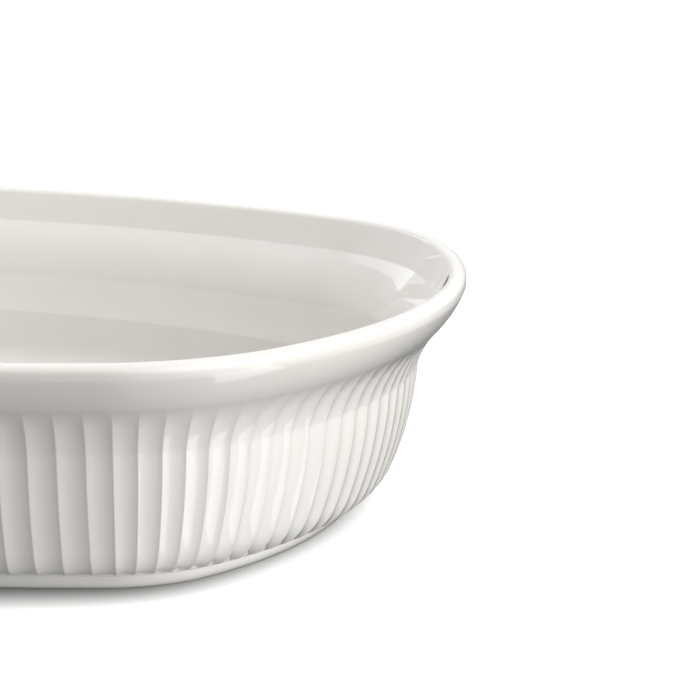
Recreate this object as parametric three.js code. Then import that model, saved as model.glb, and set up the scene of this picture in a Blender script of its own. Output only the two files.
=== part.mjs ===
// Fluted oblong baking dish in white glazed stoneware, in millimetres, +Z up.
// The origin is on the table under the middle of the dish; X runs along its length.
// The dish is one fired body. Each zone that has its own form is a solid of its own:
// rim_bead, collar, fluted_wall, base_pan and foot_ring, which meet on level faces.
import * as THREE from 'three';

// Plan of the rim: bowed long sides, bowed ends and round corners
const LENGTH = 354;
const WIDTH = 249;
const CORNER_RADIUS = 74;
const END_BOW_TURN = 31.7;
const CORNER_TURN_END = 71.5;

// Heights: zones of the rim one below the other, and levels above the table
const HEIGHT = 67.5;
const RIM_BAND_HEIGHT = 4.2;
const COLLAR_HEIGHT = 8.65;
const COVE_HEIGHT = 13.55;
const WALL_END_Z = 13;
const PAN_SEAM_Z = 16;
const FLOOR_TOP_Z = 10.5;
const INNER_ROUND_TOP_Z = 20;
const FOOT_HEIGHT = 5.25;

// Lean of the outside from upright, in degrees, going down
const BAND_EDGE_LEAN = 8;
const COLLAR_TOP_LEAN = 30.5;
const COLLAR_EDGE_LEAN = 35;
const COVE_TOP_LEAN = 47.5;
const COVE_END_LEAN = 13.5;
const WALL_TOP_LEAN = 3.4;
const WALL_END_LEAN = 23;
const FOOT_MEETING_LEAN = 72;
const FOOT_TOP_LEAN = 22;
const FOOT_BOTTOM_LEAN = 64;

// Rim bead: a lip rounded on both sides above an almost upright band
const LIP_OUTER_RADIUS = 2.4;
const LIP_WIDTH = 5.2;
const LIP_INNER_RADIUS = 2;
const LIP_INNER_LEAN = 25;

// Wall and foot
const WALL_THICKNESS = 4.7;
const FOOT_LAND = 4.5;
const FOOT_INNER_DRAFT = 2.5;

// Flutes: hollows between sharp arrises, evenly spaced along the rim outline
const FLUTE_COUNT = 130;
const FLUTE_DEPTH = 1.15;
const FLUTE_RUN_OUT_TOP = 2;
const FLUTE_RUN_OUT_FOOT = 1.2;
const FLUTE_COLUMNS = 3;

// Facets round the smooth zones
const SMOOTH_COLUMNS = 104;

// White glaze, and the bare biscuit that shows on the foot
const GLAZE_COLOUR = 0xf3f1ec;
const BISCUIT_COLOUR = 0xe9e3d6;
const GLAZE_ROUGHNESS = 0.12;
const BISCUIT_ROUGHNESS = 0.55;

const radians = THREE.MathUtils.degToRad;

// The rim outline as arcs: bow radii follow from the length, width and corner radius.
function rimOutline() {
  const t0 = radians(END_BOW_TURN);
  const t1 = radians(CORNER_TURN_END);
  const alongX = LENGTH / 2 - CORNER_RADIUS * (Math.cos(t0) - Math.cos(t1));
  const alongY = WIDTH / 2 - CORNER_RADIUS * (Math.sin(t1) - Math.sin(t0));
  const m = [1 - Math.cos(t0), Math.cos(t1), Math.sin(t0), 1 - Math.sin(t1)];
  const det = m[0] * m[3] - m[1] * m[2];
  const endRadius = (alongX * m[3] - m[1] * alongY) / det;
  const sideRadius = (m[0] * alongY - m[2] * alongX) / det;
  const endCentre = new THREE.Vector2(LENGTH / 2 - endRadius, 0);
  const toCorner = endRadius - CORNER_RADIUS;
  const cornerCentre = new THREE.Vector2(Math.cos(t0), Math.sin(t0)).multiplyScalar(toCorner).add(endCentre);
  const sideCentre = new THREE.Vector2(0, WIDTH / 2 - sideRadius);
  return [
    { radius: endRadius, centre: endCentre, from: 0, to: t0 },
    { radius: CORNER_RADIUS, centre: cornerCentre, from: t0, to: t1 },
    { radius: sideRadius, centre: sideCentre, from: t1, to: Math.PI / 2 },
  ];
}

const QUADRANT = rimOutline();
const QUADRANT_LENGTH = QUADRANT.reduce((sum, arc) => sum + arc.radius * (arc.to - arc.from), 0);

// Point on the rim outline at a share of its length from the +X end, moved inwards by an inset.
function planPoint(share, inset) {
  const along = (share - Math.floor(share)) * 4;
  const quarter = Math.floor(along);
  const odd = quarter % 2 === 1;
  let run = (odd ? 1 - (along - quarter) : along - quarter) * QUADRANT_LENGTH;
  let arc = QUADRANT[0];
  for (arc of QUADRANT) {
    const length = arc.radius * (arc.to - arc.from);
    if (run <= length) break;
    if (arc !== QUADRANT[QUADRANT.length - 1]) run -= length;
  }
  const turn = Math.min(arc.from + run / arc.radius, arc.to);
  const x = arc.centre.x + (arc.radius - inset) * Math.cos(turn);
  const y = arc.centre.y + (arc.radius - inset) * Math.sin(turn);
  const signX = quarter === 1 || quarter === 2 ? -1 : 1;
  const signY = quarter >= 2 ? -1 : 1;
  return new THREE.Vector2(signX * x, signY * y);
}

// A round stretch of profile from one height and lean down to another, starting at an inset.
function turn(topZ, topLean, endZ, endLean, inset) {
  const sinTop = Math.sin(radians(topLean));
  const sinEnd = Math.sin(radians(endLean));
  const at = (z) => {
    const lean = Math.asin(sinTop + ((sinEnd - sinTop) * (topZ - z)) / (topZ - endZ));
    const moved = (topZ - z) * Math.tan((lean + radians(topLean)) / 2);
    return { inset: inset + moved, z, lean };
  };
  return { topZ, endZ, at, end: at(endZ) };
}

// The same stretch of profile on the inside of the wall: equal leans, moved in by the wall.
function insideOf(outer, topLean, endLean) {
  const topZ = outer.topZ + WALL_THICKNESS * Math.sin(radians(topLean));
  const endZ = outer.endZ + WALL_THICKNESS * Math.sin(radians(endLean));
  const inset = outer.at(outer.topZ).inset + WALL_THICKNESS * Math.cos(radians(topLean));
  return turn(topZ, topLean, endZ, endLean, inset);
}

// Profile of the outside, from the lip's round down to the foot
const BAND_TOP_Z = HEIGHT - LIP_OUTER_RADIUS;
const RIM_SEAM_Z = HEIGHT - RIM_BAND_HEIGHT;
const COLLAR_EDGE_Z = RIM_SEAM_Z - COLLAR_HEIGHT;
const COVE_END_Z = COLLAR_EDGE_Z - COVE_HEIGHT;
const bandOut = turn(BAND_TOP_Z, 0, RIM_SEAM_Z, BAND_EDGE_LEAN, 0);
const collarOut = turn(RIM_SEAM_Z, COLLAR_TOP_LEAN, COLLAR_EDGE_Z, COLLAR_EDGE_LEAN, bandOut.end.inset);
const coveOut = turn(COLLAR_EDGE_Z, COVE_TOP_LEAN, COVE_END_Z, COVE_END_LEAN, collarOut.end.inset);
const wallOut = turn(COVE_END_Z, WALL_TOP_LEAN, WALL_END_Z, WALL_END_LEAN, coveOut.end.inset);
const roundOut = turn(WALL_END_Z, WALL_END_LEAN, FOOT_HEIGHT, FOOT_MEETING_LEAN, wallOut.end.inset);
const footOut = turn(FOOT_HEIGHT, FOOT_TOP_LEAN, 0, FOOT_BOTTOM_LEAN, roundOut.end.inset);

// Profile of the inside, from the lip's inner roll down to the floor
const coveIn = insideOf(coveOut, COVE_TOP_LEAN, COVE_END_LEAN);
const wallIn = insideOf(wallOut, WALL_TOP_LEAN, WALL_END_LEAN);
const roundInTop = wallIn.at(INNER_ROUND_TOP_Z);
const roundInLean = THREE.MathUtils.radToDeg(roundInTop.lean);
const roundIn = turn(INNER_ROUND_TOP_Z, roundInLean, FLOOR_TOP_Z, 90, roundInTop.inset);

// The inside of the collar is a straight run between the lip's roll and the cove.
const ROLL_END = lipRoll(radians(LIP_INNER_LEAN));
const COVE_IN_TOP = coveIn.at(coveIn.topZ);
function collarIn(z) {
  const share = (ROLL_END.z - z) / (ROLL_END.z - COVE_IN_TOP.z);
  return { inset: THREE.MathUtils.lerp(ROLL_END.inset, COVE_IN_TOP.inset, share), z };
}

// Point on the lip's inner roll, by its angle above level.
function lipRoll(angle) {
  const inset = LIP_WIDTH - LIP_INNER_RADIUS * (1 - Math.cos(angle));
  return { inset, z: HEIGHT - LIP_INNER_RADIUS * (1 - Math.sin(angle)) };
}

// Point on the lip's round outside, by its angle above level.
function lipRound(angle) {
  const inset = LIP_OUTER_RADIUS * (1 - Math.cos(angle));
  return { inset, z: BAND_TOP_Z + LIP_OUTER_RADIUS * Math.sin(angle) };
}

// How far along a quarter circle a run-out has come, from 0 at its end to 1 at full depth.
function runOut(length, over) {
  const reach = THREE.MathUtils.clamp(length / over, 0, 1);
  return Math.sqrt(1 - (1 - reach) ** 2);
}

// How far a flute is sunk at a place across its width (0 to 1).
// It fades in below the collar, and ends in a round above the foot.
function fluteDepth(across, z) {
  const fade = runOut(COLLAR_EDGE_Z - z, FLUTE_RUN_OUT_TOP);
  const lift = 1 - runOut(z - FOOT_HEIGHT, FLUTE_RUN_OUT_FOOT);
  const hollow = 4 * across * (1 - across);
  return FLUTE_DEPTH * fade * Math.max(hollow - lift, 0);
}

// A level ring of points at one place on a profile.
function ring(place, columns = SMOOTH_COLUMNS) {
  const points = [];
  for (let i = 0; i < columns; i += 1) {
    const xy = planPoint(i / columns, place.inset);
    points.push(new THREE.Vector3(xy.x, xy.y, place.z));
  }
  return points;
}

// A fluted ring: the arrises lie on the profile and the hollows are sunk behind it.
// Below the pan seam the hollow is sunk square to the rounding wall.
function flutedRing(place) {
  const columns = FLUTE_COUNT * FLUTE_COLUMNS;
  const seamLean = wallOut.at(PAN_SEAM_Z).lean;
  const tilt = Math.max(place.lean - seamLean, 0) * (place.z < PAN_SEAM_Z ? 1 : 0);
  const points = [];
  for (let i = 0; i < columns; i += 1) {
    const across = (i % FLUTE_COLUMNS) / FLUTE_COLUMNS;
    const depth = fluteDepth(across, place.z);
    // Half a pitch of shift puts a hollow on the end of the long axis.
    const share = (i / FLUTE_COLUMNS + 0.5) / FLUTE_COUNT;
    const xy = planPoint(share, place.inset + depth * Math.cos(tilt));
    points.push(new THREE.Vector3(xy.x, xy.y, place.z + depth * Math.sin(tilt)));
  }
  return points;
}

// Joins ring to ring with triangles; the last ring joins the first, and a single point closes a fan.
function solidFromRings(rings) {
  const starts = [];
  const positions = [];
  for (const points of rings) {
    starts.push(positions.length / 3);
    for (const point of points) positions.push(point.x, point.y, point.z);
  }
  const index = [];
  rings.forEach((upper, k) => {
    const next = (k + 1) % rings.length;
    const lower = rings[next];
    const a = (i) => starts[k] + (i % upper.length);
    const b = (j) => starts[next] + (j % lower.length);
    const upperSteps = upper.length > 1 ? upper.length : 0;
    const lowerSteps = lower.length > 1 ? lower.length : 0;
    let i = 0;
    let j = 0;
    while (i < upperSteps || j < lowerSteps) {
      const upperNext = i < upperSteps ? (i + 1) / upperSteps : Infinity;
      const lowerNext = j < lowerSteps ? (j + 1) / lowerSteps : Infinity;
      if (lowerNext <= upperNext) {
        index.push(a(i), b(j), b(j + 1));
        j += 1;
      } else {
        index.push(a(i), b(j), a(i + 1));
        i += 1;
      }
    }
  });
  const geometry = new THREE.BufferGeometry();
  geometry.setAttribute('position', new THREE.Float32BufferAttribute(positions, 3));
  geometry.setIndex(index);
  geometry.computeVertexNormals();
  return geometry;
}

// Heights shared evenly between two levels, both ends included.
function levels(from, to, steps) {
  return Array.from({ length: steps + 1 }, (_, i) => THREE.MathUtils.lerp(from, to, i / steps));
}

// Angles shared evenly from one to another, in degrees, given in radians.
function angles(from, to, steps) {
  return levels(from, to, steps).map(radians);
}

// Rim bead: down the lip's round and the band outside, and up the inner roll to the lip
function rimBead() {
  const outside = angles(90, 0, 3).map((angle) => ring(lipRound(angle)));
  const seam = [ring(bandOut.end), ring(collarIn(RIM_SEAM_Z))];
  const inside = angles(LIP_INNER_LEAN, 90, 2).map((angle) => ring(lipRoll(angle)));
  return solidFromRings([...outside, ...seam, ...inside]);
}

// Collar: a band that swells outwards between the bead and the flutes
function collar() {
  const outside = levels(RIM_SEAM_Z, COLLAR_EDGE_Z, 2).map((z) => ring(collarOut.at(z)));
  const cove = levels(COLLAR_EDGE_Z, COVE_IN_TOP.z, 1).map((z) => ring(coveIn.at(z)));
  return solidFromRings([...outside, ...cove, ring(collarIn(RIM_SEAM_Z))]);
}

// Fluted wall: cove and upright wall outside, and the parallel smooth wall inside
function flutedWall() {
  const runOutEnd = COLLAR_EDGE_Z - FLUTE_RUN_OUT_TOP;
  const cove = [COLLAR_EDGE_Z, runOutEnd, (runOutEnd + COVE_END_Z) / 2].map((z) => coveOut.at(z));
  const wall = levels(COVE_END_Z, PAN_SEAM_Z, 2).map((z) => wallOut.at(z));
  const outside = [...cove, ...wall].map(flutedRing);
  const round = ring(roundIn.at(PAN_SEAM_Z));
  const wallInside = levels(INNER_ROUND_TOP_Z, wallIn.topZ, 1).map((z) => ring(wallIn.at(z)));
  const coveInside = levels(coveIn.endZ, COLLAR_EDGE_Z, 2).map((z) => ring(coveIn.at(z)));
  return solidFromRings([...outside, round, ...wallInside, ...coveInside]);
}

// Base pan: the rounded foot of the wall with the flute ends, and the coved floor inside
function basePan() {
  const runOutStart = FOOT_HEIGHT + FLUTE_RUN_OUT_FOOT;
  const rounding = [(WALL_END_Z + runOutStart) / 2, runOutStart].map((z) => roundOut.at(z));
  const outside = [wallOut.at(PAN_SEAM_Z), ...rounding, roundOut.end].map(flutedRing);
  const under = [new THREE.Vector3(0, 0, FOOT_HEIGHT)];
  const middle = [new THREE.Vector3(0, 0, FLOOR_TOP_Z)];
  const coved = levels(FLOOR_TOP_Z, PAN_SEAM_Z, 3).map((z) => ring(roundIn.at(z)));
  return solidFromRings([...outside, under, middle, ...coved]);
}

// Foot ring: a plain rounded band with a flat bare land that rests on the table
function footRing() {
  const outside = levels(FOOT_HEIGHT, 0, 3).map((z) => ring(footOut.at(z)));
  const landInset = footOut.end.inset + FOOT_LAND;
  const land = ring({ inset: landInset, z: 0 });
  const top = ring({ inset: landInset + FOOT_INNER_DRAFT, z: FOOT_HEIGHT });
  return solidFromRings([...outside, land, top]);
}

function piece(name, geometry, colour, roughness) {
  const material = new THREE.MeshStandardMaterial({ color: colour, roughness, metalness: 0 });
  const mesh = new THREE.Mesh(geometry, material);
  mesh.name = name;
  return mesh;
}

const dish = new THREE.Group();
dish.add(piece('rim_bead', rimBead(), GLAZE_COLOUR, GLAZE_ROUGHNESS));
dish.add(piece('collar', collar(), GLAZE_COLOUR, GLAZE_ROUGHNESS));
dish.add(piece('fluted_wall', flutedWall(), GLAZE_COLOUR, GLAZE_ROUGHNESS));
dish.add(piece('base_pan', basePan(), GLAZE_COLOUR, GLAZE_ROUGHNESS));
dish.add(piece('foot_ring', footRing(), BISCUIT_COLOUR, BISCUIT_ROUGHNESS));

export default dish;
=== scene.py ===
"""Fluted oblong baking dish in white glazed stoneware, dressed for rendering.

The five pieces stand for the CAD part's five zones, in the same frame and the same outer box:
the origin lies on the table under the middle of the dish, X runs along its length and Z points
up. The section's leans and the flutes' depth are this script's own, and stay within a millimetre
of the CAD part. Sizes are written in millimetres and degrees unless a field says otherwise, and
meshes are made in metres.
"""
import logging
import math
from dataclasses import dataclass, field
from enum import Enum
from typing import Any, ClassVar, Sequence

import bpy
import numpy as np
from mathutils import Matrix


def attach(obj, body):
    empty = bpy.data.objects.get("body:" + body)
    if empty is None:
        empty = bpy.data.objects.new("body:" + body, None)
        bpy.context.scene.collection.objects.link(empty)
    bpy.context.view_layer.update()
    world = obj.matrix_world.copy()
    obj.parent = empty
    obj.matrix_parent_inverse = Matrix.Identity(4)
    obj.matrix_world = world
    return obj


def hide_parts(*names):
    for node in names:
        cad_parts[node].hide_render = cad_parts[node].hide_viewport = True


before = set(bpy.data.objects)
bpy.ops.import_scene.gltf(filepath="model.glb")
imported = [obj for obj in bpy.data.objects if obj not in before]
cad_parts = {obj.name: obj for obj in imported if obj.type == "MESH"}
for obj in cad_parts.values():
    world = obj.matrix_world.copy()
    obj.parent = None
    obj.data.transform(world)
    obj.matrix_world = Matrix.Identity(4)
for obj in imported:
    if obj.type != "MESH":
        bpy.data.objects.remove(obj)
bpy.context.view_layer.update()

MM = 0.001
BODY = "root"
POOL_ATTRIBUTE = "glaze_pool"

Colour = tuple[float, float, float]
Span = tuple[float, float]

log = logging.getLogger("baking_dish")


class Slot(Enum):
    """Material slots of the record."""

    GLAZE = "glaze"
    FOOT = "foot"


class Side(Enum):
    """The two sides of the dish's section."""

    OUTSIDE = "outside"
    INSIDE = "inside"


class Seam(Enum):
    """Which end rows of a run of rings are sharp seams: the first, and the last."""

    BOTH = (True, True)
    LAST = (False, True)
    NONE = (False, False)


class Blend(Enum):
    """Kinds of Mix node: data type, places of its two inputs, and place of its result."""

    VALUE = ("FLOAT", 2, 3, 0)
    COLOUR = ("RGBA", 6, 7, 2)


@dataclass(frozen=True)
class RimPlan:
    """Plan of the rim: bowed ends and sides with round corners, as arcs in each quarter."""

    length: float = 354.0
    width: float = 249.0
    corner_radius: float = 74.0
    end_bow_turn: float = 31.7
    corner_turn_end: float = 71.5

    def arcs(self) -> np.ndarray:
        """Solve the bow radii from the length, the width and the corner radius.

        Returns:
            One row per arc of a quarter: radius, centre x, centre y, first and last angle.
        """
        t0, t1 = np.radians([self.end_bow_turn, self.corner_turn_end])
        corner = self.corner_radius
        sides = np.array([[1 - np.cos(t0), np.cos(t1)], [np.sin(t0), 1 - np.sin(t1)]])
        reach = np.array([
            self.length / 2 - corner * (np.cos(t0) - np.cos(t1)),
            self.width / 2 - corner * (np.sin(t1) - np.sin(t0)),
        ])
        end, side = np.linalg.solve(sides, reach)
        end_x = self.length / 2 - end
        return np.array([
            [end, end_x, 0.0, 0.0, t0],
            [corner, end_x + (end - corner) * np.cos(t0), (end - corner) * np.sin(t0), t0, t1],
            [side, 0.0, self.width / 2 - side, t1, np.pi / 2],
        ])

    def walk(self, shares: np.ndarray) -> tuple[np.ndarray, np.ndarray]:
        """Walk the rim outline by equal lengths, anticlockwise from the +X end.

        A share of the outline's length falls in a quarter, then on an arc of that quarter;
        its angle is the arc's first angle plus the length left over divided by the radius.

        Args:
            shares: places along the outline, each from 0 to 1.

        Returns:
            The rim points and the outward directions there, one row per share.
        """
        arcs = self.arcs()
        lengths = arcs[:, 0] * (arcs[:, 4] - arcs[:, 3])
        starts = np.concatenate([[0.0], np.cumsum(lengths)])
        along = (shares % 1.0) * 4
        quarter = np.floor(along).astype(int)
        part = along - quarter
        run = np.where(quarter % 2 == 1, 1 - part, part) * starts[-1]
        pick = np.clip(np.searchsorted(starts, run, side="right") - 1, 0, len(arcs) - 1)
        radius, centre_x, centre_y, first, _ = arcs[pick].T
        angle = first + (run - starts[pick]) / radius
        sign = np.stack([
            np.where((quarter == 1) | (quarter == 2), -1.0, 1.0),
            np.where(quarter >= 2, -1.0, 1.0),
        ], axis=1)
        outward = np.stack([np.cos(angle), np.sin(angle)], axis=1) * sign
        centres = np.stack([centre_x, centre_y], axis=1) * sign
        return centres + radius[:, None] * outward, outward


@dataclass(frozen=True)
class Turn:
    """A round stretch of section between two heights, with its lean from upright at each."""

    top_z: float
    top_lean: float
    end_z: float
    end_lean: float
    inset: float
    samples: ClassVar[int] = 160

    def lean_at(self, z: np.ndarray | float) -> np.ndarray:
        """Give leans at heights, in radians: the sine of the lean changes evenly with height."""
        first, last = np.sin(np.radians([self.top_lean, self.end_lean]))
        return np.arcsin(first + (last - first) * ((self.top_z - z) / (self.top_z - self.end_z)))

    def at(self, z: np.ndarray | float) -> np.ndarray:
        """Give insets at heights: the drop from the top times the tangent of the mean lean."""
        mean_lean = (self.lean_at(z) + np.radians(self.top_lean)) / 2
        return self.inset + (self.top_z - z) * np.tan(mean_lean)

    def end_inset(self) -> float:
        """Give the inset at the lower end."""
        return float(self.at(self.end_z))

    def parallel(self, thickness: float) -> "Turn":
        """Give the same stretch moved inwards by a wall, with equal leans."""
        top, end = np.radians([self.top_lean, self.end_lean])
        return Turn(
            self.top_z + thickness * math.sin(top), self.top_lean,
            self.end_z + thickness * math.sin(end), self.end_lean,
            self.inset + thickness * math.cos(top),
        )

    def line(self, from_z: float, to_z: float) -> np.ndarray:
        """Sample the stretch between two heights as rows of inset and height."""
        z = np.linspace(from_z, to_z, self.samples)
        return np.stack([self.at(z), z], axis=1)


@dataclass(frozen=True)
class Spacing:
    """Longest distance between rows of rings, and the largest bend between them."""

    step: float
    turn: float = 7.0


@dataclass(frozen=True)
class Curve:
    """The softened section as one line, from under the dish over the lip to the floor.

    The outside ends on the foot's land, so no place on it is inset further than land_inset.
    A thin row is as long as thin_row, or as thin_share of a short stretch.
    """

    run: np.ndarray
    inset: np.ndarray
    z: np.ndarray
    lean: np.ndarray
    bend: np.ndarray
    lip_run: float
    land_inset: float = 34.5
    row_samples: ClassVar[int] = 2000
    thin_row: ClassVar[float] = 0.06
    thin_share: ClassVar[float] = 1 / 8

    def run_at(self, z: float, side: Side) -> float:
        """Find where a side of the wall passes a height.

        Args:
            z: the height.
            side: outside or inside.

        Returns:
            The length along the section.
        """
        if side is Side.OUTSIDE:
            part = (self.run <= self.lip_run) & (self.inset < self.land_inset)
            return float(np.interp(z, self.z[part], self.run[part]))
        part = self.run >= self.lip_run
        return float(np.interp(z, self.z[part][::-1], self.run[part][::-1]))

    def runs_at(self, heights: Sequence[float], side: Side) -> list[float]:
        """Find where a side of the wall passes several heights."""
        return [self.run_at(z, side) for z in heights]

    def rows(self, start: float, end: float, spacing: Spacing) -> np.ndarray:
        """Space rows along the section, closer where it bends, with a thin row at each end.

        The rows share out evenly the sum of the length over the step and of the bend over
        the turn. The thin rows carry the surface's own shading right up to a seam.

        Args:
            start: length along the section of the first row.
            end: length along the section of the last row.
            spacing: longest distance and largest bend between rows.

        Returns:
            Lengths along the section, from start to end.
        """
        low, high = min(start, end), max(start, end)
        run = np.linspace(low, high, self.row_samples)
        bend = np.abs(np.interp(run, self.run, self.bend))
        weight = 1 / spacing.step + bend / math.radians(spacing.turn)
        total = np.concatenate([[0.0], np.cumsum((weight[1:] + weight[:-1]) / 2 * np.diff(run))])
        count = max(int(math.ceil(total[-1])), 2)
        rows = np.interp(np.linspace(0, total[-1], count + 1), total, run)
        thin = min(self.thin_row, (high - low) * self.thin_share)
        rows = np.concatenate([[low, low + thin], rows[1:-1], [high - thin, high]])
        rows = np.unique(rows)
        return rows if start < end else rows[::-1]

    def at(self, run: np.ndarray) -> np.ndarray:
        """Give inset, height, lean and bend at lengths along the section, one row each."""
        values = (self.inset, self.z, self.lean, self.bend)
        return np.stack([np.interp(run, self.run, value) for value in values])


@dataclass(frozen=True)
class Section:
    """Sizes of the dish's section, and the line that they draw.

    The line's points lie a line step apart, and the bell curve that softens it reaches over
    bell_reach times its softness on each side.
    """

    height: float = 67.5
    rim_band_height: float = 4.2
    collar_height: float = 8.65
    cove_height: float = 13.55
    wall_end_z: float = 13.0
    pan_seam_z: float = 16.0
    floor_top_z: float = 10.5
    inner_round_top_z: float = 20.0
    foot_height: float = 4.5
    band_edge_lean: float = 8.0
    collar_top_lean: float = 22.0
    collar_edge_lean: float = 43.5
    cove_top_lean: float = 44.5
    cove_end_lean: float = 16.5
    wall_top_lean: float = 3.4
    wall_end_lean: float = 23.0
    foot_meeting_lean: float = 71.3
    foot_top_lean: float = 22.0
    foot_bottom_lean: float = 64.0
    lip_outer_radius: float = 2.4
    lip_width: float = 5.2
    lip_inner_radius: float = 2.0
    lip_inner_lean: float = 25.0
    wall_thickness: float = 4.7
    foot_land: float = 4.5
    foot_inner_draft: float = 2.5
    edge_softness: float = 0.17
    band_softness: float = 0.4
    band_reach: float = 1.6
    flat_run: float = 10.0
    line_step: ClassVar[float] = 0.04
    arc_samples: ClassVar[int] = 120
    bell_reach: ClassVar[int] = 4

    @property
    def band_top_z(self) -> float:
        """Height where the lip's round ends and the upright band begins."""
        return self.height - self.lip_outer_radius

    @property
    def rim_seam_z(self) -> float:
        """Height where the band meets the collar."""
        return self.height - self.rim_band_height

    @property
    def collar_edge_z(self) -> float:
        """Height of the collar's lower edge, where the flutes begin."""
        return self.rim_seam_z - self.collar_height

    @property
    def cove_end_z(self) -> float:
        """Height where the cove breaks into the wall."""
        return self.collar_edge_z - self.cove_height

    def outer_turns(self) -> list[Turn]:
        """Chain the outside stretches from the band down to the foot.

        Returns:
            Band, collar, cove, wall, rounded foot of the wall, and foot.
        """
        joints = [
            (self.band_top_z, 0.0, self.rim_seam_z, self.band_edge_lean),
            (self.rim_seam_z, self.collar_top_lean, self.collar_edge_z, self.collar_edge_lean),
            (self.collar_edge_z, self.cove_top_lean, self.cove_end_z, self.cove_end_lean),
            (self.cove_end_z, self.wall_top_lean, self.wall_end_z, self.wall_end_lean),
            (self.wall_end_z, self.wall_end_lean, self.foot_height, self.foot_meeting_lean),
            (self.foot_height, self.foot_top_lean, 0.0, self.foot_bottom_lean),
        ]
        inset = 0.0
        turns: list[Turn] = []
        for joint in joints:
            turns.append(Turn(*joint, inset))
            inset = turns[-1].end_inset()
        return turns

    def arc(self, centre: Span, radius: float, start: float, end: float) -> np.ndarray:
        """Sample an arc of section by its angle above level, as rows of inset and height."""
        angle = np.radians(np.linspace(start, end, self.arc_samples))
        return np.array(centre) + radius * np.stack([-np.cos(angle), np.sin(angle)], axis=1)

    def outline(self) -> Curve:
        """Draw the section as one line and soften its corners as a fired glaze does.

        The line goes from under the dish over the foot, wall, bead and lip, and down the
        inside to the floor. It is spaced evenly along its length and averaged with a bell
        curve, so that every corner becomes a small round.

        Returns:
            The softened section.
        """
        band, collar, cove, wall, base, foot = self.outer_turns()
        cove_in, wall_in = (turn.parallel(self.wall_thickness) for turn in (cove, wall))
        round_inset = float(wall_in.at(self.inner_round_top_z))
        round_lean = math.degrees(wall_in.lean_at(self.inner_round_top_z))
        floor_round = Turn(self.inner_round_top_z, round_lean, self.floor_top_z, 90.0, round_inset)
        land_out = foot.end_inset()
        land_in = land_out + self.foot_land
        recess = land_in + self.foot_inner_draft
        roll_inset = self.lip_width - self.lip_inner_radius
        roll_z = self.height - self.lip_inner_radius
        roll = self.arc((roll_inset, roll_z), -self.lip_inner_radius, -90.0, -self.lip_inner_lean)
        floor_edge = floor_round.end_inset()
        below_band = np.concatenate([
            [[recess + self.flat_run, self.foot_height], [recess, self.foot_height]],
            [[land_in, 0.0], [land_out, 0.0]],
            foot.line(0.0, self.foot_height),
            base.line(self.foot_height, self.wall_end_z),
            wall.line(self.wall_end_z, self.cove_end_z),
            cove.line(self.cove_end_z, self.collar_edge_z),
            collar.line(self.collar_edge_z, self.rim_seam_z),
        ])
        above_band = np.concatenate([
            band.line(self.rim_seam_z, self.band_top_z),
            self.arc((self.lip_outer_radius, self.band_top_z), self.lip_outer_radius, 0.0, 90.0),
            roll,
            cove_in.line(cove_in.top_z, cove_in.end_z),
            wall_in.line(wall_in.top_z, self.inner_round_top_z),
            floor_round.line(self.inner_round_top_z, self.floor_top_z),
            [[floor_edge + self.flat_run, self.floor_top_z]],
        ])
        return self.soften(below_band, above_band)

    def averaged(self, values: np.ndarray, softness: float) -> np.ndarray:
        """Average evenly spaced values with a bell curve.

        Args:
            values: values a line step apart.
            softness: width of the bell curve, as its standard deviation.

        Returns:
            As many values, with corners rounded.
        """
        reach = int(self.bell_reach * softness / self.line_step)
        places = np.arange(-reach, reach + 1) * self.line_step
        bell = np.exp(-0.5 * (places / softness) ** 2)
        padded = np.pad(values, reach, mode="reflect", reflect_type="odd")
        return np.convolve(padded, bell / bell.sum(), mode="valid")

    def soften(self, below_band: np.ndarray, above_band: np.ndarray) -> Curve:
        """Average the section's line along its length, more broadly at the band's lower edge.

        Two averages, a crisp and a broad one, are mixed by a bell curve round that edge.

        Args:
            below_band: rows of inset and height from under the dish up to the band.
            above_band: rows of inset and height from the band over the lip to the floor.

        Returns:
            The softened section with its lean and bend.
        """
        line = np.concatenate([below_band, above_band])
        run = np.concatenate([[0.0], np.cumsum(np.hypot(*np.diff(line, axis=0).T))])
        edge = run[len(below_band)]
        run, kept = np.unique(run, return_index=True)
        even = np.arange(0.0, run[-1], self.line_step)
        broad = np.exp(-0.5 * ((even - edge) / self.band_reach) ** 2)
        inset, z = (
            self.averaged(values, self.edge_softness) * (1 - broad)
            + self.averaged(values, self.band_softness) * broad
            for values in (np.interp(even, run, line[kept, k]) for k in (0, 1))
        )
        heading = np.unwrap(np.arctan2(np.gradient(z), -np.gradient(inset)))
        lip_run = float(even[np.argmax(z)])
        return Curve(even, inset, z, np.pi / 2 - heading, np.gradient(heading, even), lip_run)


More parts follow.
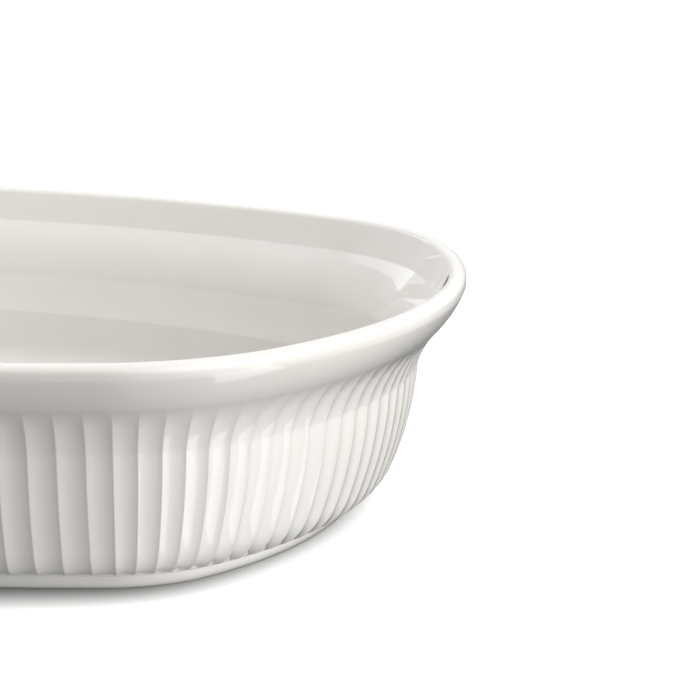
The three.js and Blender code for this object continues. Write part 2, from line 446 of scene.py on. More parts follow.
@dataclass(frozen=True)
class Flutes:
    """Hollows between sharp arrises, evenly spaced along the rim outline.

    The columns across a flute are shares of its width, closer together at the arrises.
    """

    count: int = 130
    depth: float = 0.5
    top_band: float = 0.25
    top_run_out: float = 6.5
    foot_run_out: float = 4.0
    across: tuple[float, ...] = (0.0, 0.03, 0.08, 0.18, 0.33, 0.5, 0.67, 0.82, 0.92, 0.97)

    def columns(self) -> tuple[np.ndarray, np.ndarray]:
        """Place columns over every flute, with a hollow on each end of the long axis.

        Returns:
            Shares of the rim outline, and places across a flute from 0 to 1.
        """
        across = np.tile(np.array(self.across), self.count)
        number = np.repeat(np.arange(self.count), len(self.across))
        return (number + 0.5 + across) / self.count, across

    def sunk(self, across: np.ndarray, from_top: np.ndarray, from_foot: np.ndarray) -> np.ndarray:
        """Give how far the flutes are sunk behind the arrises.

        Across a flute the hollow is a parabola. From its top it deepens evenly, like a cut
        that runs out on a slope; towards the foot it fades out along a parabola.

        Args:
            across: places across a flute, from 0 to 1.
            from_top: lengths down the wall from the collar's edge.
            from_foot: lengths up the wall from the foot.

        Returns:
            Depths in a grid, one row per place down the wall.
        """
        hollow = 4 * across * (1 - across)
        from_edge = np.clip((from_top - self.top_band) / self.top_run_out, 0.0, 1.0)
        from_end = np.clip(from_foot / self.foot_run_out, 0.0, 1.0)
        fade = from_edge * from_end * (2 - from_end)
        return self.depth * fade[:, None] * hollow[None, :]


@dataclass(frozen=True)
class GlazePool:
    """How thick the glaze lies, from thin at 0 to pooled at 1."""

    even: float = 0.5
    level: float = 0.6
    per_bend: float = 0.9
    arris_loss: float = 0.45
    hollow_gain: float = 0.95

    def by_bend(self, bend: np.ndarray) -> np.ndarray:
        """Thin the glaze on edges and pool it in creases, by the section's bend."""
        return self.even + self.even * np.tanh(-bend * self.per_bend)

    def in_flutes(self, bend: np.ndarray, sunk_share: np.ndarray) -> np.ndarray:
        """Thin the glaze on the arrises and pool it in the hollows, by the share of full depth."""
        gained = self.by_bend(bend)[:, None] - self.arris_loss + self.hollow_gain * sunk_share
        return np.clip(gained, 0.0, 1.0)


def put(name: str, data: bpy.types.ID) -> bpy.types.Object:
    """Make an object of some data and link it to the scene.

    Args:
        name: name of the object.
        data: its mesh, camera or light.

    Returns:
        The object, at the origin.
    """
    thing = bpy.data.objects.new(name, data)
    bpy.context.scene.collection.objects.link(thing)
    return thing


@dataclass
class Shell:
    """A closed shell of rings: rows of points that go round the dish, and the poles that close it."""

    rows: list[np.ndarray] = field(default_factory=list)
    pools: list[np.ndarray] = field(default_factory=list)
    seams: list[int] = field(default_factory=list)
    pole_after: int | None = None
    poles: Span = (0.0, 0.0)
    pole_pool: float = 0.5

    def count(self) -> int:
        """Count the rows so far."""
        return sum(len(part) for part in self.rows)

    def add(self, grid: np.ndarray, pool: np.ndarray, seam: Seam) -> None:
        """Add rows of rings.

        Args:
            grid: points by row and column, in millimetres.
            pool: share of glaze at each point, from thin at 0 to pooled at 1.
            seam: which of the end rows are sharp seams.
        """
        first = self.count()
        ends = (first, first + len(grid) - 1)
        self.rows.append(grid)
        self.pools.append(pool)
        self.seams += [row for row, sharp in zip(ends, seam.value) if sharp]

    def to_object(self, name: str) -> bpy.types.Object:
        """Join the rings with quads, close the poles with triangles and make a mesh object.

        Row r and column c give the quad of rows r and r + 1 and columns c and c + 1; the last
        row joins the first, and so does the last column. Where poles close the shell, the
        two rows beside them end in fans.

        Args:
            name: name of the piece.

        Returns:
            The object, at the origin.
        """
        grid = np.concatenate(self.rows) * MM
        pools = np.concatenate(self.pools).reshape(-1)
        count, columns = grid.shape[:2]
        points = grid.reshape(-1, 3)
        column = np.arange(columns)
        upper = np.arange(count)
        if self.pole_after is not None:
            upper = np.delete(upper, self.pole_after)
        lower = (upper + 1) % count
        right = (column + 1) % columns
        quads = np.stack([
            upper[:, None] * columns + column, lower[:, None] * columns + column,
            lower[:, None] * columns + right, upper[:, None] * columns + right,
        ], axis=-1).reshape(-1, 4)
        faces: list[list[int]] = quads.tolist()
        if self.pole_after is not None:
            low, high = len(points), len(points) + 1
            points = np.concatenate([points, np.array([[0, 0, z] for z in self.poles]) * MM])
            pools = np.concatenate([pools, [self.pole_pool, self.pole_pool]])
            last = self.pole_after * columns
            following = (self.pole_after + 1) * columns
            low_fan = np.stack([last + column, np.full(columns, low), last + right], axis=1)
            high_fan = np.stack([np.full(columns, high), following + column, following + right], axis=1)
            faces += low_fan.tolist() + high_fan.tolist()
        mesh = bpy.data.meshes.new(name)
        mesh.from_pydata(points.tolist(), [], faces)
        mesh.polygons.foreach_set("use_smooth", np.ones(len(mesh.polygons), dtype=bool))
        self.mark_seams(mesh, columns, count)
        attribute = mesh.attributes.new(POOL_ATTRIBUTE, "FLOAT", "POINT")
        attribute.data.foreach_set("value", pools.astype(np.float32))
        mesh.update()
        return put(name, mesh)

    def mark_seams(self, mesh: bpy.types.Mesh, columns: int, count: int) -> None:
        """Mark the edges that run along the seam rows as sharp.

        Args:
            mesh: the new mesh.
            columns: points in each row.
            count: number of rows.
        """
        ends = np.empty(len(mesh.edges) * 2, dtype=np.int32)
        mesh.edges.foreach_get("vertices", ends)
        rows = ends.reshape(-1, 2) // columns
        sharp = (rows[:, 0] == rows[:, 1]) & (rows[:, 0] < count) & np.isin(rows[:, 0], self.seams)
        flag = mesh.attributes.new("sharp_edge", "BOOLEAN", "EDGE")
        flag.data.foreach_set("value", sharp)


@dataclass(frozen=True)
class GlazeFinish:
    """White kiln glaze: glossy, a little warmer where it is thin and cooler where it pools.

    The sizes are noise scales per metre, and the peel's depth is in metres.
    """

    thin: Colour = (0.80, 0.775, 0.735)
    pooled: Colour = (0.835, 0.825, 0.80)
    pooled_at: float = 0.65
    roughness: Span = (0.015, 0.035)
    noise_band: Span = (0.3, 0.7)
    mottle_size: float = 34.0
    mottle_detail: float = 3.0
    mottle_drift: Span = (-0.18, 0.18)
    peel_size: float = 620.0
    peel_detail: float = 1.0
    peel_strength: float = 0.045
    peel_depth: float = 0.0002
    coat_weight: float = 1.0
    coat_roughness: float = 0.01
    ior: float = 1.5


@dataclass(frozen=True)
class BiscuitFinish:
    """Bare fired clay on the foot's land: matt, warm and fine-grained.

    The sizes are noise scales per metre; the glaze's edge is given in millimetres of height.
    """

    pale: Colour = (0.69, 0.63, 0.54)
    dark: Colour = (0.56, 0.49, 0.40)
    dark_to_pale: Span = (0.35, 0.62)
    roughness: float = 0.72
    grain_size: float = 1900.0
    grain_detail: float = 3.0
    bump_gain: float = 3.0
    bare_up_to: float = 0.16
    edge_size: float = 240.0
    edge_detail: float = 2.0
    edge_waver: float = 0.08
    edge_blur: float = 0.06


class NodeTree:
    """Adds nodes and links to one node tree."""

    def __init__(self, tree: bpy.types.NodeTree) -> None:
        """Keep the tree."""
        self.tree = tree

    def add(self, kind: str, settings: dict[str, Any] | None = None, **inputs: Any) -> bpy.types.Node:
        """Add a node, set its options and fill or link its inputs.

        Args:
            kind: the node's type name.
            settings: the node's own options.
            inputs: values or sockets by input name, with _ for a space.

        Returns:
            The node.
        """
        node = self.tree.nodes.new(kind)
        for key, value in (settings or {}).items():
            setattr(node, key, value)
        self.feed(node, **inputs)
        return node

    def feed(self, node: bpy.types.Node, **inputs: Any) -> None:
        """Fill or link a node's inputs by name, with _ for a space."""
        for key, value in inputs.items():
            self.plug(node, key.replace("_", " "), value)

    def plug(self, node: bpy.types.Node, name: str | int, value: Any) -> None:
        """Link a socket to a node's input, or set the input's value.

        Args:
            node: the node.
            name: the input's name or place.
            value: a socket to link, or a plain value.
        """
        target = node.inputs[name]
        if isinstance(value, bpy.types.NodeSocket):
            self.tree.links.new(value, target)
        else:
            target.default_value = value

    def fill(self, node: bpy.types.Node, values: Sequence[Any]) -> bpy.types.Node:
        """Fill or link a node's inputs in their order, from the first.

        Args:
            node: the node.
            values: values or sockets.

        Returns:
            The node.
        """
        for place, value in enumerate(values):
            self.plug(node, place, value)
        return node

    def calculate(self, operation: str, *values: Any, clamp: bool = False) -> Any:
        """Add a Math node and return its result's socket."""
        node = self.add("ShaderNodeMath", {"operation": operation, "use_clamp": clamp})
        return self.fill(node, values).outputs["Value"]

    def mix(self, blend: Blend, share: Any, first: Any, second: Any) -> Any:
        """Mix two values or two colours.

        Args:
            blend: what is mixed.
            share: share of the second.
            first: value, colour or socket at a share of 0.
            second: value, colour or socket at a share of 1.

        Returns:
            The result's socket.
        """
        data_type, first_place, second_place, result_place = blend.value
        node = self.add("ShaderNodeMix", {"data_type": data_type})
        for place, value in ((0, share), (first_place, first), (second_place, second)):
            self.plug(node, place, value)
        return node.outputs[result_place]

    def noise(self, place: Any, size: float, detail: float) -> Any:
        """Add a noise on the given coordinates and return its value's socket."""
        return self.add("ShaderNodeTexNoise", Vector=place, Scale=size, Detail=detail).outputs["Fac"]

    def ramp(self, fac: Any, stops: Sequence[tuple[float, Colour]]) -> Any:
        """Add a colour ramp.

        Args:
            fac: the socket that drives it.
            stops: places and colours.

        Returns:
            The ramp's colour socket.
        """
        node = self.add("ShaderNodeValToRGB", Fac=fac)
        band = node.color_ramp
        while len(band.elements) < len(stops):
            band.elements.new(0.5)
        for element, (place, colour) in zip(band.elements, stops):
            element.position = place
            element.color = (*colour, 1.0)
        return node.outputs["Color"]

    def spread(self, value: Any, low: float, high: float, to_low: float, to_high: float) -> Any:
        """Map a value from one range to another, with soft ends, and return the result's socket."""
        node = self.add("ShaderNodeMapRange", {"interpolation_type": "SMOOTHSTEP"})
        return self.fill(node, (value, low, high, to_low, to_high)).outputs["Result"]


def glaze_group(finish: GlazeFinish) -> bpy.types.NodeTree:
    """Build the glaze's surface once, for every material that carries it.

    A slow mottle and the pool of the glaze choose between the thin and the pooled colour;
    a fine noise gives the orange peel, and the mottle moves the roughness.

    Args:
        finish: sizes and colours of the glaze.

    Returns:
        The node group, with Colour, Roughness and Height out.
    """
    group = bpy.data.node_groups.new("kiln_glaze", "ShaderNodeTree")
    for name, kind in (("Colour", "NodeSocketColor"), ("Roughness", "NodeSocketFloat"),
                       ("Height", "NodeSocketFloat")):
        group.interface.new_socket(name=name, in_out="OUTPUT", socket_type=kind)
    nodes = NodeTree(group)
    place = nodes.add("ShaderNodeTexCoord").outputs["Object"]
    pool = nodes.add("ShaderNodeAttribute", {"attribute_name": POOL_ATTRIBUTE}).outputs["Fac"]
    mottle = nodes.noise(place, finish.mottle_size, finish.mottle_detail)
    peel = nodes.noise(place, finish.peel_size, finish.peel_detail)
    drift = nodes.spread(mottle, *finish.noise_band, *finish.mottle_drift)
    share = nodes.calculate("ADD", pool, drift, clamp=True)
    colour = nodes.ramp(share, [(0.0, finish.thin), (finish.pooled_at, finish.pooled)])
    rough = nodes.spread(mottle, *finish.noise_band, *finish.roughness)
    nodes.add("NodeGroupOutput", Colour=colour, Roughness=rough, Height=peel)
    return group


class Finishes:
    """Makes the dish's materials."""

    def __init__(self) -> None:
        """Build the shared glaze group and both materials."""
        self.glaze = GlazeFinish()
        self.biscuit = BiscuitFinish()
        self.group = glaze_group(self.glaze)
        self.by_slot = {Slot.GLAZE: self.dish_glaze(), Slot.FOOT: self.foot_glaze()}

    def surface(self, name: str) -> tuple[bpy.types.Material, NodeTree, bpy.types.Node, bpy.types.Node]:
        """Start a glazed material.

        Args:
            name: name of the material.

        Returns:
            The material, its nodes, its shader and its glaze group node.
        """
        material = bpy.data.materials.new(name)
        material.use_nodes = True
        nodes = NodeTree(material.node_tree)
        shader = material.node_tree.nodes["Principled BSDF"]
        glaze = nodes.add("ShaderNodeGroup", {"node_tree": self.group})
        nodes.feed(shader, IOR=self.glaze.ior, Coat_Roughness=self.glaze.coat_roughness)
        return material, nodes, shader, glaze

    def dish_glaze(self) -> bpy.types.Material:
        """Make the white glaze of the dish.

        Returns:
            The material.
        """
        material, nodes, shader, glaze = self.surface("dish_glaze")
        bump = nodes.add("ShaderNodeBump", Strength=self.glaze.peel_strength,
                         Distance=self.glaze.peel_depth, Height=glaze.outputs["Height"])
        nodes.feed(shader, Base_Color=glaze.outputs["Colour"], Roughness=glaze.outputs["Roughness"],
                   Coat_Weight=self.glaze.coat_weight, Normal=bump.outputs["Normal"])
        return material

    def foot_glaze(self) -> bpy.types.Material:
        """Make the foot's finish: glaze that stops just above a bare land.

        The height, moved a little up and down by a noise, chooses between glaze and clay.

        Returns:
            The material.
        """
        clay_finish = self.biscuit
        material, nodes, shader, glaze = self.surface("foot_glaze_and_land")
        place = nodes.add("ShaderNodeTexCoord").outputs["Object"]
        height = nodes.add("ShaderNodeSeparateXYZ", Vector=place).outputs["Z"]
        edge = nodes.noise(place, clay_finish.edge_size, clay_finish.edge_detail)
        grain = nodes.noise(place, clay_finish.grain_size, clay_finish.grain_detail)
        waver = clay_finish.edge_waver * MM
        level = nodes.calculate("ADD", height, nodes.spread(edge, *self.glaze.noise_band, -waver, waver))
        line, blur = clay_finish.bare_up_to * MM, clay_finish.edge_blur * MM
        bare = nodes.spread(level, line - blur, line + blur, 1.0, 0.0)
        clay = nodes.ramp(grain, list(zip(clay_finish.dark_to_pale, (clay_finish.dark, clay_finish.pale))))
        colour = nodes.mix(Blend.COLOUR, bare, glaze.outputs["Colour"], clay)
        rough = nodes.mix(Blend.VALUE, bare, glaze.outputs["Roughness"], clay_finish.roughness)
        coat = nodes.spread(bare, 0.0, 1.0, self.glaze.coat_weight, 0.0)
        skin = nodes.mix(Blend.VALUE, bare, glaze.outputs["Height"], grain)
        bump = nodes.add("ShaderNodeBump", Strength=self.glaze.peel_strength * clay_finish.bump_gain,
                         Distance=self.glaze.peel_depth, Height=skin)
        nodes.feed(shader, Base_Color=colour, Roughness=rough, Coat_Weight=coat,
                   Normal=bump.outputs["Normal"])
        return material


@dataclass
class DishForm:
    """The form that every piece shares: the rim's plan, the section, the flutes and the glaze."""

    plan: RimPlan = RimPlan()
    section: Section = Section()
    flutes: Flutes = Flutes()
    pool: GlazePool = GlazePool()
    smooth_columns: int = 650

    def __post_init__(self) -> None:
        """Draw the section once for all pieces."""
        self.curve = self.section.outline()

    def smooth_shares(self) -> np.ndarray:
        """Give the columns of the smooth zones."""
        return np.arange(self.smooth_columns) / self.smooth_columns

    def flute_shares(self) -> np.ndarray:
        """Give the columns of the zones that carry flutes."""
        return self.flutes.columns()[0]

    def rings(self, run: np.ndarray, shares: np.ndarray) -> tuple[np.ndarray, np.ndarray]:
        """Carry places on the section round the rim outline.

        A point is the rim point less its inset along the outward direction, at its height.

        Args:
            run: lengths along the section.
            shares: shares of the rim outline.

        Returns:
            A grid of points, and the share of glaze at each.
        """
        inset, z, _, bend = self.curve.at(run)
        rim, outward = self.plan.walk(shares)
        flat = rim[None] - inset[:, None, None] * outward[None]
        grid = np.concatenate([flat, np.broadcast_to(z[:, None, None], (*flat.shape[:2], 1))], axis=2)
        return grid, np.broadcast_to(self.pool.by_bend(bend)[:, None], flat.shape[:2]).copy()

    def fluted_rings(self, run: np.ndarray) -> tuple[np.ndarray, np.ndarray]:
        """Carry the outside of the wall round the rim outline and sink the flutes into it.

        The hollow is sunk level above the pan's seam, and square to the wall as it rounds
        under the dish below that seam.

        Args:
            run: lengths along the section.

        Returns:
            A grid of points, and the share of glaze at each.
        """
        shares, across = self.flutes.columns()
        inset, z, lean, bend = self.curve.at(run)
        marks = (self.section.collar_edge_z, self.section.foot_height, self.section.pan_seam_z)
        top, foot, seam = self.curve.runs_at(marks, Side.OUTSIDE)
        sunk = self.flutes.sunk(across, top - run, run - foot)
        seam_lean = np.interp(seam, self.curve.run, self.curve.lean)
        tilt = np.where(run < seam, np.maximum(lean - seam_lean, 0), 0)
        rim, outward = self.plan.walk(shares)
        moved = inset[:, None] + sunk * np.cos(tilt)[:, None]
        flat = rim[None] - moved[..., None] * outward[None]
        grid = np.concatenate([flat, (z[:, None] + sunk * np.sin(tilt)[:, None])[..., None]], axis=2)
        return grid, self.pool.in_flutes(bend, sunk / self.flutes.depth)

    def level_fill(self, inset: float, z: float, count: int) -> tuple[np.ndarray, np.ndarray]:
        """Fill a level face from a ring towards the middle: the ring scaled in even steps.

        Args:
            inset: inset of the ring.
            z: height of the face.
            count: number of rows.

        Returns:
            A grid of points, without the ring itself and without the middle, and the share
            of glaze at each.
        """
        rim, outward = self.plan.walk(self.flute_shares())
        ring = rim - inset * outward
        scale = np.linspace(1.0, 0.0, count + 2)[1:-1]
        flat = scale[:, None, None] * ring[None]
        grid = np.concatenate([flat, np.full((*flat.shape[:2], 1), z)], axis=2)
        return grid, np.full(flat.shape[:2], self.pool.level)


@dataclass
class Zone:
    """One zone of the dish, which stands for one CAD node."""

    form: DishForm
    finishes: Finishes
    name: ClassVar[str]
    node: ClassVar[str]
    slot: ClassVar[Slot] = Slot.GLAZE

    def shell(self) -> Shell:
        """Work out the zone's closed shell."""
        raise NotImplementedError

    def build(self) -> bpy.types.Object:
        """Make the piece, dress it and report it.

        Returns:
            The piece.
        """
        piece = self.shell().to_object(self.name)
        self.dress(piece)
        log.info("%s stands for %s: %d faces", piece.name, self.node, len(piece.data.polygons))
        return piece

    def dress(self, piece: bpy.types.Object) -> None:
        """Give a piece its finish, tie it to the frame and put it in place of its node.

        Args:
            piece: the new piece.
        """
        piece.data.materials.append(self.finishes.by_slot[self.slot])
        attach(piece, BODY)
        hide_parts(self.node)


@dataclass
class LipBead(Zone):
    """The round lip and the upright band under it."""

    lip_rows: Spacing = Spacing(0.6)
    name = "lip_bead"
    node = "rim_bead"

    def shell(self) -> Shell:
        """Go from the inside seam over the lip to the outside seam.

        Returns:
            The shell, closed by the level face between the seams.
        """
        curve, seam = self.form.curve, self.form.section.rim_seam_z
        inner, outer = curve.run_at(seam, Side.INSIDE), curve.run_at(seam, Side.OUTSIDE)
        rows = curve.rows(inner, outer, self.lip_rows)
        shell = Shell()
        shell.add(*self.form.rings(rows, self.form.smooth_shares()), Seam.BOTH)
        return shell


@dataclass
class SmoothCollar(Zone):
    """The smooth band between the lip and the flutes."""

    outside_rows: Spacing = Spacing(0.8)
    inside_rows: Spacing = Spacing(0.9)
    name = "smooth_collar"
    node = "collar"

    def shell(self) -> Shell:
        """Go down the outside and up the inside, between two level faces.

        Returns:
            The shell.
        """
        form, curve = self.form, self.form.curve
        top, low = form.section.rim_seam_z, form.section.collar_edge_z
        outer = curve.rows(*curve.runs_at((top, low), Side.OUTSIDE), self.outside_rows)
        inner = curve.rows(*curve.runs_at((low, top), Side.INSIDE), self.inside_rows)
        shell = Shell()
        shell.add(*form.rings(outer, form.smooth_shares()), Seam.BOTH)
        shell.add(*form.rings(inner, form.smooth_shares()), Seam.BOTH)
        return shell


@dataclass
class FluteWall(Zone):
    """The cove and the wall: flutes outside, plain inside."""

    hollow_top_rows: Spacing = Spacing(1.0)
    hollow_rows: Spacing = Spacing(1.7, 8.0)
    inside_rows: Spacing = Spacing(3.2, 9.0)
    name = "flute_wall"
    node = "fluted_wall"

    def shell(self) -> Shell:
        """Go down the fluted outside, with closer rows where the hollows deepen, and up the inside.

        Returns:
            The shell.
        """
        form, curve, flutes = self.form, self.form.curve, self.form.flutes
        top, low = form.section.collar_edge_z, form.section.pan_seam_z
        start, end = curve.runs_at((top, low), Side.OUTSIDE)
        full_depth = start - flutes.top_band - flutes.top_run_out
        outer = np.concatenate([
            curve.rows(start, full_depth, self.hollow_top_rows)[:-1],
            curve.rows(full_depth, end, self.hollow_rows),
        ])
        inner = curve.rows(*curve.runs_at((low, top), Side.INSIDE), self.inside_rows)
        shell = Shell()
        shell.add(*form.fluted_rings(outer), Seam.BOTH)
        shell.add(*form.rings(inner, form.flute_shares()), Seam.BOTH)
        return shell


@dataclass
class CovedBase(Zone):
    """The base: flute ends that round under the dish, and the coved floor inside."""

    hollow_rows: Spacing = Spacing(1.3, 8.0)
    hollow_end_rows: Spacing = Spacing(0.5)
    floor_round_rows: Spacing = Spacing(3.0, 6.0)
    fill_rows: int = 7
    name = "coved_base"
    node = "base_pan"

    def shell(self) -> Shell:
        """Go down the flute ends, in under the dish, and out over the floor to the inside seam.

        Returns:
            The shell, closed by a pole under the dish and one on the floor.
        """
        form, curve = self.form, self.form.curve
        seam, foot = form.section.pan_seam_z, form.section.foot_height
        start, end = curve.runs_at((seam, foot), Side.OUTSIDE)
        fading = end + form.flutes.foot_run_out
        outer = np.concatenate([
            curve.rows(start, fading, self.hollow_rows)[:-1],
            curve.rows(fading, end, self.hollow_end_rows),
        ])
        floor_run = curve.run[-1]
        inner = curve.rows(floor_run, curve.run_at(seam, Side.INSIDE), self.floor_round_rows)
        under_inset = float(curve.at(np.array([end]))[0, 0])
        floor_inset, floor_z = curve.at(np.array([floor_run]))[:2, 0]
        floor_grid, floor_pool = form.level_fill(floor_inset, floor_z, self.fill_rows)
        shell = Shell(poles=(foot, floor_z))
        shell.add(*form.fluted_rings(outer), Seam.BOTH)
        shell.add(*form.level_fill(under_inset, foot, self.fill_rows), Seam.NONE)
        shell.pole_after = shell.count() - 1
        shell.add(floor_grid[::-1], floor_pool, Seam.NONE)
        shell.add(*form.rings(inner, form.flute_shares()), Seam.LAST)
        return shell


@dataclass
class FootBand(Zone):
    """The foot: a rounded band outside, a bare level land and a drafted inside."""

    band_rows: Spacing = Spacing(0.6)
    level_tolerance: float = 0.002
    name = "foot_band"
    node = "foot_ring"
    slot = Slot.FOOT

    def shell(self) -> Shell:
        """Go down the outside, over the land and up to the recess, and close at the foot's height.

        Returns:
            The shell.
        """
        form, curve, foot = self.form, self.form.curve, self.form.section.foot_height
        start = curve.run_at(foot, Side.OUTSIDE)
        under = curve.run[(curve.run < start) & (curve.z < foot - self.level_tolerance)]
        rows = curve.rows(start, float(under[0]), self.band_rows)
        grid, pool = form.rings(rows, form.smooth_shares())
        grid[-1, :, 2] = foot
        shell = Shell()
        shell.add(grid, pool, Seam.BOTH)
        return shell


def direction(bearing: float, rise: float) -> np.ndarray:
    """Give the unit direction at a bearing from +X and a rise above level."""
    turn, up = math.radians(bearing), math.radians(rise)
    return np.array([math.cos(up) * math.cos(turn), math.cos(up) * math.sin(turn), math.sin(up)])


def placing(right: np.ndarray, top: np.ndarray, back: np.ndarray, spot: np.ndarray) -> Matrix:
    """Give the matrix of an object with these three axes and this origin, as its columns."""
    rows = np.stack([right, top, back, spot], axis=1)
    return Matrix([*rows.tolist(), (0.0, 0.0, 0.0, 1.0)])


@dataclass(frozen=True)
class PhotoCamera:
    """Camera at the photograph's viewing angle.

    The focal length and the image's width are in pixels, the turns in radians, the near limit
    in metres and the other lengths in millimetres.
    """

    focal: float = 2749.9
    image_width: float = 700.0
    sensor: float = 36.0
    elevation: float = 0.2304
    yaw: float = 0.3001
    sideways: float = -141.97
    lift: float = 38.81
    distance: float = 815.5
    near_limit: float = 0.01

    def place(self) -> bpy.types.Object:
        """Make the camera and look along the fitted direction.

        Returns:
            The camera object, set as the scene's camera.
        """
        right = np.array([math.cos(self.yaw), math.sin(self.yaw), 0.0])
        ahead = np.array([-math.sin(self.yaw), math.cos(self.yaw), 0.0])
        upright = np.array([0.0, 0.0, 1.0])
        look = math.cos(self.elevation) * ahead - math.sin(self.elevation) * upright
        top = math.sin(self.elevation) * ahead + math.cos(self.elevation) * upright
        spot = (-self.sideways * right - self.distance * look + self.lift * top) * MM
        data = bpy.data.cameras.new("photo_camera")
        data.sensor_fit = "HORIZONTAL"
        data.sensor_width = self.sensor
        data.lens = self.focal / self.image_width * self.sensor
        data.clip_start = self.near_limit
        camera = put("photo_camera", data)
        camera.matrix_world = placing(right, top, -look, spot)
        bpy.context.scene.camera = camera
        return camera


@dataclass(frozen=True)
class Softbox:
    """A flat studio light, placed by its bearing and height angle from the dish.

    Its distance is in metres, and its width and height are the angles that it fills. One that
    isn't mirrored lights the dish but doesn't show in the glaze.
    """

    name: str
    bearing: float
    elevation: float
    distance: float
    wide: float
    tall: float
    radiance: float
    roll: float = 0.0
    mirrored: bool = True

    def hang(self, target: tuple[float, float, float]) -> bpy.types.Object:
        """Hang the light, turn it to the target and roll it about its own axis.

        A lamp of this kind gives a quarter of its power over its area in each direction.

        Args:
            target: the point it faces, in metres.

        Returns:
            The light object.
        """
        turn, roll = math.radians(self.bearing), math.radians(self.roll)
        back = direction(self.bearing, self.elevation)
        level = np.array([-math.sin(turn), math.cos(turn), 0.0])
        across = math.cos(roll) * level - math.sin(roll) * np.cross(back, level)
        data = bpy.data.lights.new(self.name, "AREA")
        data.shape = "RECTANGLE"
        data.size, data.size_y = (
            2 * self.distance * math.tan(math.radians(angle) / 2) for angle in (self.wide, self.tall)
        )
        data.energy = 4 * self.radiance * data.size * data.size_y
        light = put(self.name, data)
        light.visible_camera = False
        light.visible_glossy = self.mirrored
        spot = np.array(target) + self.distance * back
        light.matrix_world = placing(across, np.cross(back, across), back, spot)
        return light


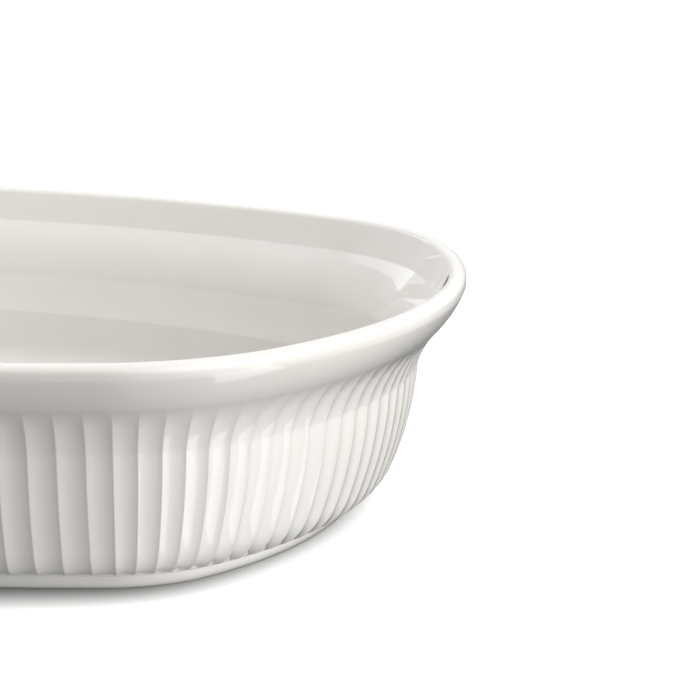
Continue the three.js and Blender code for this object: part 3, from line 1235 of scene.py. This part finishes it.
@dataclass(frozen=True)
class Studio:
    """Pale floor with a painted contact shadow and a painted glow, room light with a dim side and a bright
    side, and soft boxes.

    Lengths are in metres. A band is the range of places or of cosines over which a value
    changes from its first to its second.
    """

    floor_half: float = 12.0
    floor_colour: Colour = (0.95, 0.95, 0.95)
    floor_roughness: float = 0.9
    # floor_glow is a painted glow: the floor emits light though it is no lamp, more strongly towards +X.
    floor_glow: Span = (0.06, 0.95)
    floor_glow_band: Span = (0.0, 0.16)
    # The contact fields shape a painted contact shadow: ambient occlusion darkens the floor's colour near
    # the dish.
    contact_reach: float = 0.015
    contact_samples: int = 8
    contact_depth: Span = (0.97, 0.5)
    contact_band: Span = (0.108, 0.152)
    room: Colour = (1.0, 0.99, 0.975)
    room_strength: Span = (0.12, 1.08)
    room_band: Span = (-0.5, 0.35)
    dim_bearing: float = -111.0
    dim_depth: float = 0.8
    dim_band: Span = (0.35, 0.95)
    glow_bearing: float = -12.0
    glow_rise: float = 18.0
    glow: float = 1.55
    glow_band: Span = (0.6, 1.0)
    target: tuple[float, float, float] = (0.0, 0.0, 0.035)
    boxes: tuple[Softbox, ...] = (
        Softbox("low_box", bearing=-6.0, elevation=-35.0, distance=2.0, wide=25.0, tall=35.0,
                radiance=0.9, roll=-32.0),
        Softbox("back_box", bearing=151.0, elevation=33.0, distance=2.2, wide=12.0, tall=44.0,
                radiance=0.55, roll=40.0),
        Softbox("under_box", bearing=8.0, elevation=-52.0, distance=2.0, wide=60.0, tall=50.0,
                radiance=0.8, mirrored=False),
        Softbox("foot_card", bearing=-22.0, elevation=-19.0, distance=0.172, wide=40.0, tall=5.0,
                radiance=0.8, mirrored=False),
    )

    def floor_material(self) -> bpy.types.Material:
        """Make a pale matt floor, seen only from above.

        It is darker where something stands close over it, a painted contact shadow from an ambient
        occlusion node, and brighter to one side, where it glows as painted light.

        Returns:
            The material.
        """
        material = bpy.data.materials.new("pale_floor")
        material.use_nodes = True
        nodes = NodeTree(material.node_tree)
        shader = material.node_tree.nodes["Principled BSDF"]
        place = nodes.add("ShaderNodeTexCoord").outputs["Object"]
        along = nodes.add("ShaderNodeSeparateXYZ", Vector=place).outputs["X"]
        # Painted contact shadow: ambient occlusion darkens the floor's colour, more deeply on the dish's
        # -X side than on its +X side.
        near = nodes.add("ShaderNodeAmbientOcclusion", {"samples": self.contact_samples},
                         Distance=self.contact_reach)
        depth = nodes.spread(along, *self.contact_band, *self.contact_depth)
        open_share = nodes.calculate("POWER", near.outputs["AO"], depth)
        painted_shade_tone = nodes.ramp(open_share, [(0.0, (0.0, 0.0, 0.0)), (1.0, self.floor_colour)])
        # Painted glow: the floor emits its own shaded colour, more strongly towards +X.
        glow = nodes.spread(along, *self.floor_glow_band, *self.floor_glow)
        nodes.feed(shader, Roughness=self.floor_roughness, Specular_IOR_Level=0.0, Base_Color=painted_shade_tone,
                   Emission_Color=painted_shade_tone, Emission_Strength=glow)
        clear = nodes.add("ShaderNodeBsdfTransparent").outputs["BSDF"]
        from_below = nodes.add("ShaderNodeNewGeometry").outputs["Backfacing"]
        either = nodes.fill(nodes.add("ShaderNodeMixShader"), (from_below, shader.outputs["BSDF"], clear))
        nodes.feed(material.node_tree.nodes["Material Output"], Surface=either.outputs["Shader"])
        return material

    def floor(self) -> bpy.types.Object:
        """Lay the floor, which is seen but neither lights the dish nor shades it.

        Returns:
            The floor, marked as stage.
        """
        half = self.floor_half
        corners = [(-half, -half, 0.0), (half, -half, 0.0), (half, half, 0.0), (-half, half, 0.0)]
        mesh = bpy.data.meshes.new("studio_floor")
        mesh.from_pydata(corners, [], [(0, 1, 2, 3)])
        mesh.materials.append(self.floor_material())
        floor = put("studio_floor", mesh)
        floor.visible_glossy = False
        floor.visible_diffuse = False
        floor.visible_shadow = False
        return floor

    def room_light(self) -> bpy.types.World:
        """Light the room by direction.

        The strength grows with height, is dimmed towards one bearing, and has a soft glow
        round another: height times dimming, plus glow.

        Returns:
            The world.
        """
        world = bpy.data.worlds.new("studio_room")
        world.use_nodes = True
        nodes = NodeTree(world.node_tree)
        shade = world.node_tree.nodes["Background"]
        way = nodes.add("ShaderNodeTexCoord").outputs["Generated"]
        aims = (
            direction(0.0, 90.0),
            direction(self.dim_bearing, 0.0),
            direction(self.glow_bearing, self.glow_rise),
        )
        up, to_dim, to_glow = (
            nodes.fill(nodes.add("ShaderNodeVectorMath", {"operation": "DOT_PRODUCT"}),
                       (way, tuple(aim))).outputs["Value"]
            for aim in aims
        )
        height = nodes.spread(up, *self.room_band, *self.room_strength)
        dimmed = nodes.spread(to_dim, *self.dim_band, 1.0, 1.0 - self.dim_depth)
        glow = nodes.spread(to_glow, *self.glow_band, 0.0, self.glow)
        strength = nodes.calculate("MULTIPLY_ADD", height, dimmed, glow)
        nodes.feed(shade, Color=(*self.room, 1.0), Strength=strength)
        return world

    def light(self) -> None:
        """Set the room light and hang every soft box."""
        bpy.context.scene.world = self.room_light()
        for box in self.boxes:
            box.hang(self.target)
        bpy.context.scene.view_settings.view_transform = "Standard"


def main() -> None:
    """Place the camera, build the dish from the lip down and set the studio."""
    logging.basicConfig(level=logging.INFO, format="%(name)s: %(message)s")
    PhotoCamera().place()
    form, finishes = DishForm(), Finishes()
    zones: tuple[type[Zone], ...] = (LipBead, SmoothCollar, FluteWall, CovedBase, FootBand)
    pieces = [zone(form, finishes).build() for zone in zones]
    studio = Studio()
    studio.floor()
    studio.light()
    log.info("%d pieces built", len(pieces))


if __name__ == "__main__":
    main()
